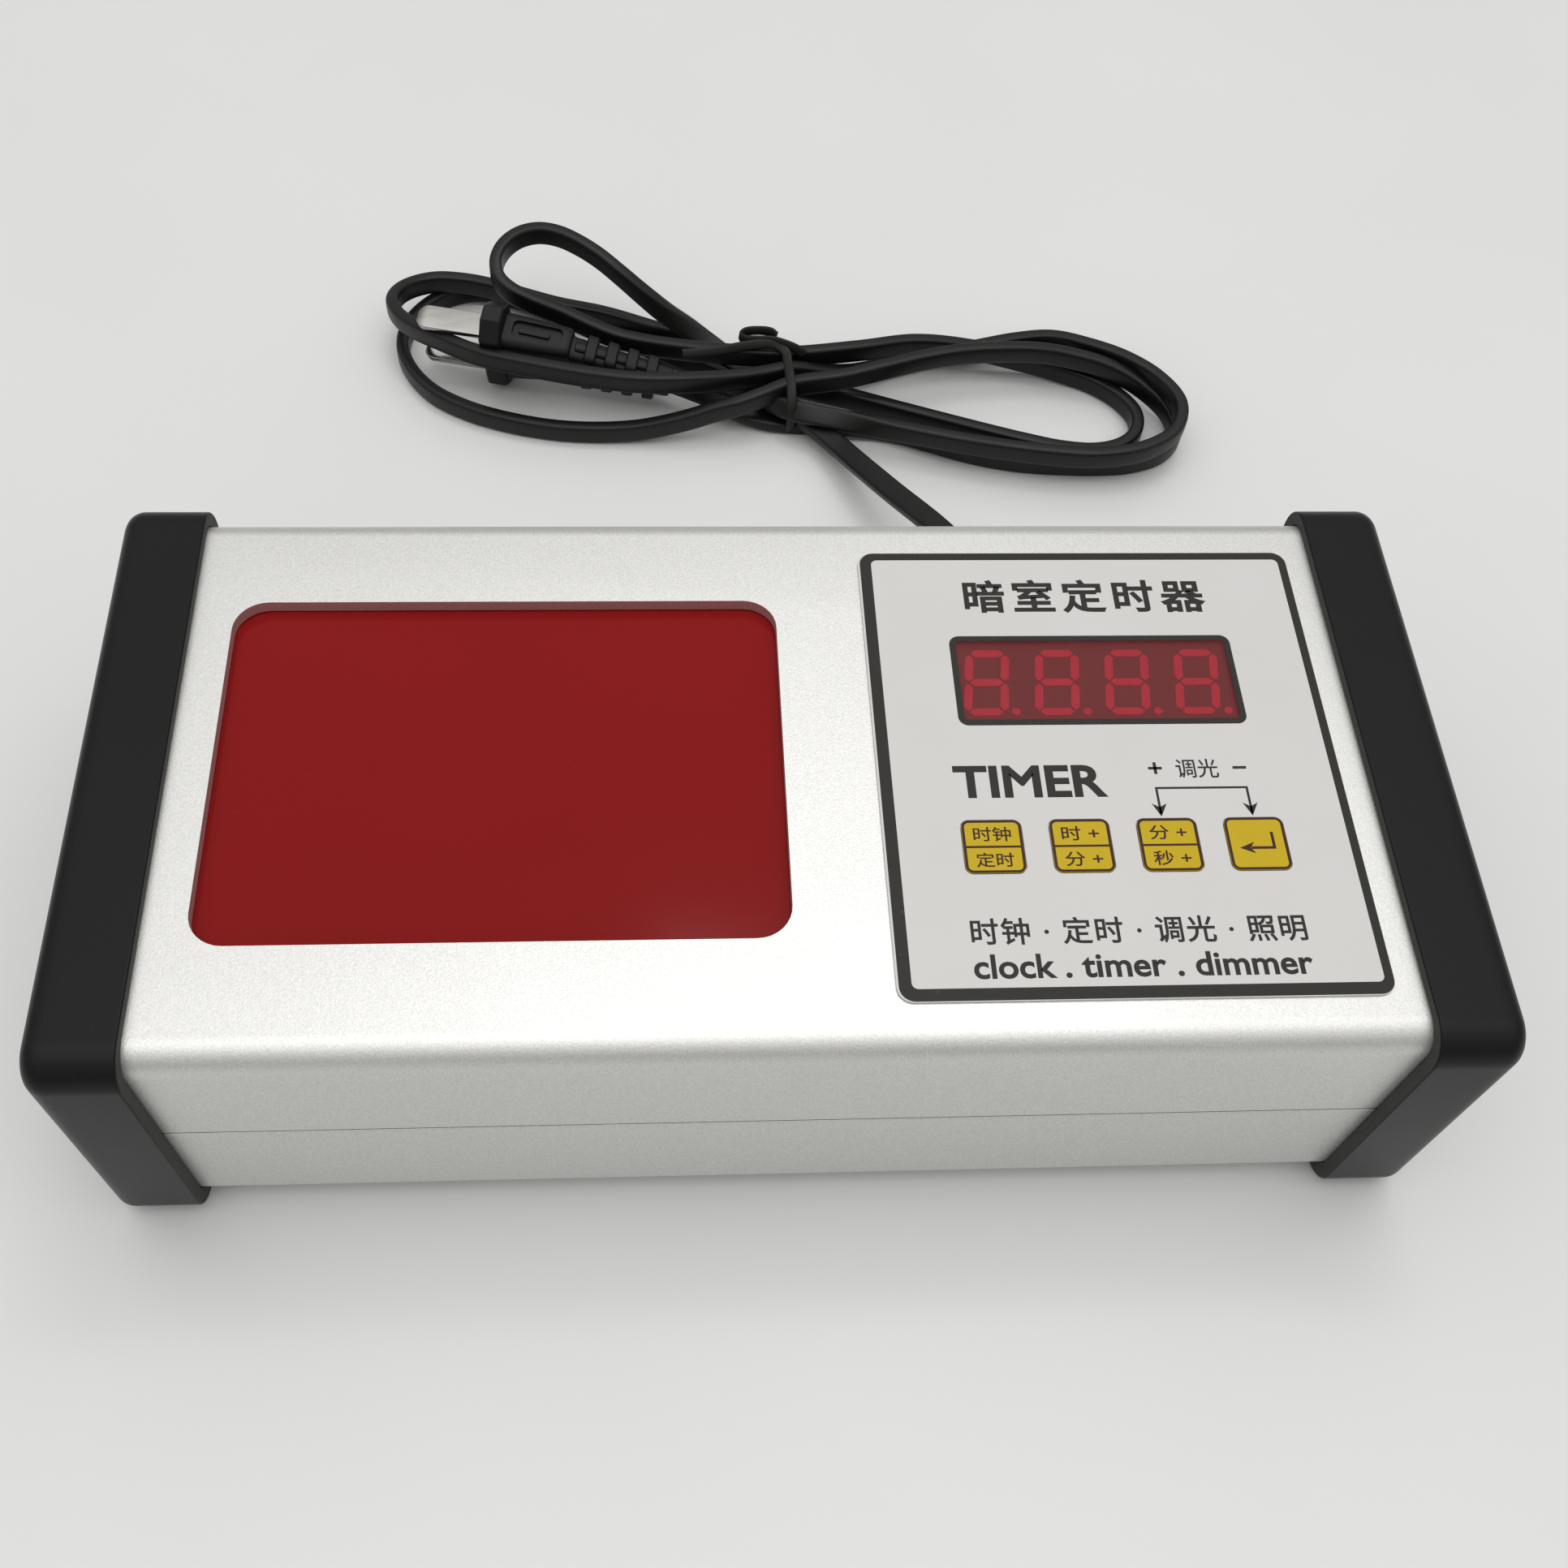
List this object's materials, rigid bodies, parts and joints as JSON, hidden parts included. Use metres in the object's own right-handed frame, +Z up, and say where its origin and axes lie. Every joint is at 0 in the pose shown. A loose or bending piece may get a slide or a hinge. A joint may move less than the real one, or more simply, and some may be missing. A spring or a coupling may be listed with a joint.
{
  "type": "darkroom timer",
  "caption": "Darkroom timer with a built-in red safelight: split aluminium case with black end caps, membrane keys and digital display, flat mains cord tied in a hank.",
  "frame": {"origin": "centre of the case footprint on the surface it stands on", "axes": "+X along the case towards the panel end, +Y to the back where the cord leaves, +Z up"},
  "size_m": [0.236, 0.2432, 0.064],
  "materials": {
    "satin_aluminium": "fine bead-blasted and anodised satin",
    "black_moulding": "fine moulded texture, semi-gloss black",
    "screw_steel": "zinc plated",
    "red_acrylic": "polished deep red acrylic",
    "clear_tape": "clear double-sided tape",
    "opal_acrylic": "opal diffuser",
    "white_enamel": "white enamelled sheet",
    "lamp_substrate": "white solder mask on aluminium",
    "lamp_body": "moulded lamp body",
    "brass_post": "turned brass",
    "wire_sleeve": "PVC wire sleeve",
    "membrane_print": "printed polyester, light grey with a charcoal border",
    "smoked_red_film": "dark red translucent film",
    "display_case": "moulded display body",
    "display_red": "unlit red light bars",
    "key_yellow": "printed polyester, mustard yellow",
    "stem_white": "natural nylon",
    "switch_black": "moulded black",
    "circuit_green": "green solder mask",
    "circuit_brown": "phenolic laminate",
    "bright_can": "bright plated",
    "core_iron": "varnished laminations",
    "coil_tape": "wound coil under amber tape",
    "capacitor_sleeve": "shrunk sleeve",
    "heatsink_black": "black anodised",
    "fuse_glass": "glass tube",
    "terminal_green": "moulded green",
    "cord_pvc": "semi-gloss black PVC",
    "tie_coating": "black plastic-coated wire",
    "plated_blade": "nickel plated brass"
  },
  "bodies": {
    "case": {"top_shell": "satin_aluminium", "bottom_shell": "satin_aluminium", "end_cap_left": "black_moulding", "end_cap_right": "black_moulding", "cap_screws_left": "screw_steel", "cap_screws_right": "screw_steel", "safelight_pane": "red_acrylic", "pane_tape": "clear_tape", "diffuser_sheet": "opal_acrylic", "lamp_tray": "white_enamel", "lamp_board": "lamp_substrate", "lamps": "lamp_body", "tray_standoffs": "brass_post", "tray_screws": "screw_steel", "lamp_wires": "wire_sleeve", "overlay_panel": "membrane_print", "display_window": "smoked_red_film", "display_module": "display_case", "display_segments": "display_red", "switch_housings": "switch_black", "control_board": "circuit_green", "board_standoffs": "brass_post", "board_screws": "screw_steel", "controller_chip": "switch_black", "display_driver": "switch_black", "clock_crystal": "bright_can", "cell_holder": "switch_black", "backup_cell": "bright_can", "buzzer": "switch_black", "ribbon_header": "stem_white", "ribbon_cable": "wire_sleeve", "power_board": "circuit_brown", "power_standoffs": "brass_post", "power_screws": "screw_steel", "transformer_core": "core_iron", "transformer_coil": "coil_tape", "smoothing_capacitor": "capacitor_sleeve", "regulator": "switch_black", "regulator_heatsink": "heatsink_black", "rectifier_diodes": "switch_black", "fuse": "fuse_glass", "fuse_clips": "bright_can", "mains_terminal": "terminal_green", "mains_tails": "wire_sleeve", "cord_boot": "cord_pvc", "cord_lead": "cord_pvc", "cord_hank": "cord_pvc", "twist_tie": "tie_coating", "plug_body": "cord_pvc", "plug_blades": "plated_blade", "plug_relief": "cord_pvc"},
    "key_1": {"key_pad_1": "key_yellow", "key_stem_1": "stem_white"},
    "key_2": {"key_pad_2": "key_yellow", "key_stem_2": "stem_white"},
    "key_3": {"key_pad_3": "key_yellow", "key_stem_3": "stem_white"},
    "key_4": {"key_pad_4": "key_yellow", "key_stem_4": "stem_white"}
  },
  "joints": [
    {"name": "key_1_press", "type": "slide", "parent": "case", "child": "key_1", "axis": [0, 0, -1], "range_m": [0, 0.00025], "stiffness_N_per_m": 1500},
    {"name": "key_2_press", "type": "slide", "parent": "case", "child": "key_2", "axis": [0, 0, -1], "range_m": [0, 0.00025], "stiffness_N_per_m": 1500},
    {"name": "key_3_press", "type": "slide", "parent": "case", "child": "key_3", "axis": [0, 0, -1], "range_m": [0, 0.00025], "stiffness_N_per_m": 1500},
    {"name": "key_4_press", "type": "slide", "parent": "case", "child": "key_4", "axis": [0, 0, -1], "range_m": [0, 0.00025], "stiffness_N_per_m": 1500}
  ]
}
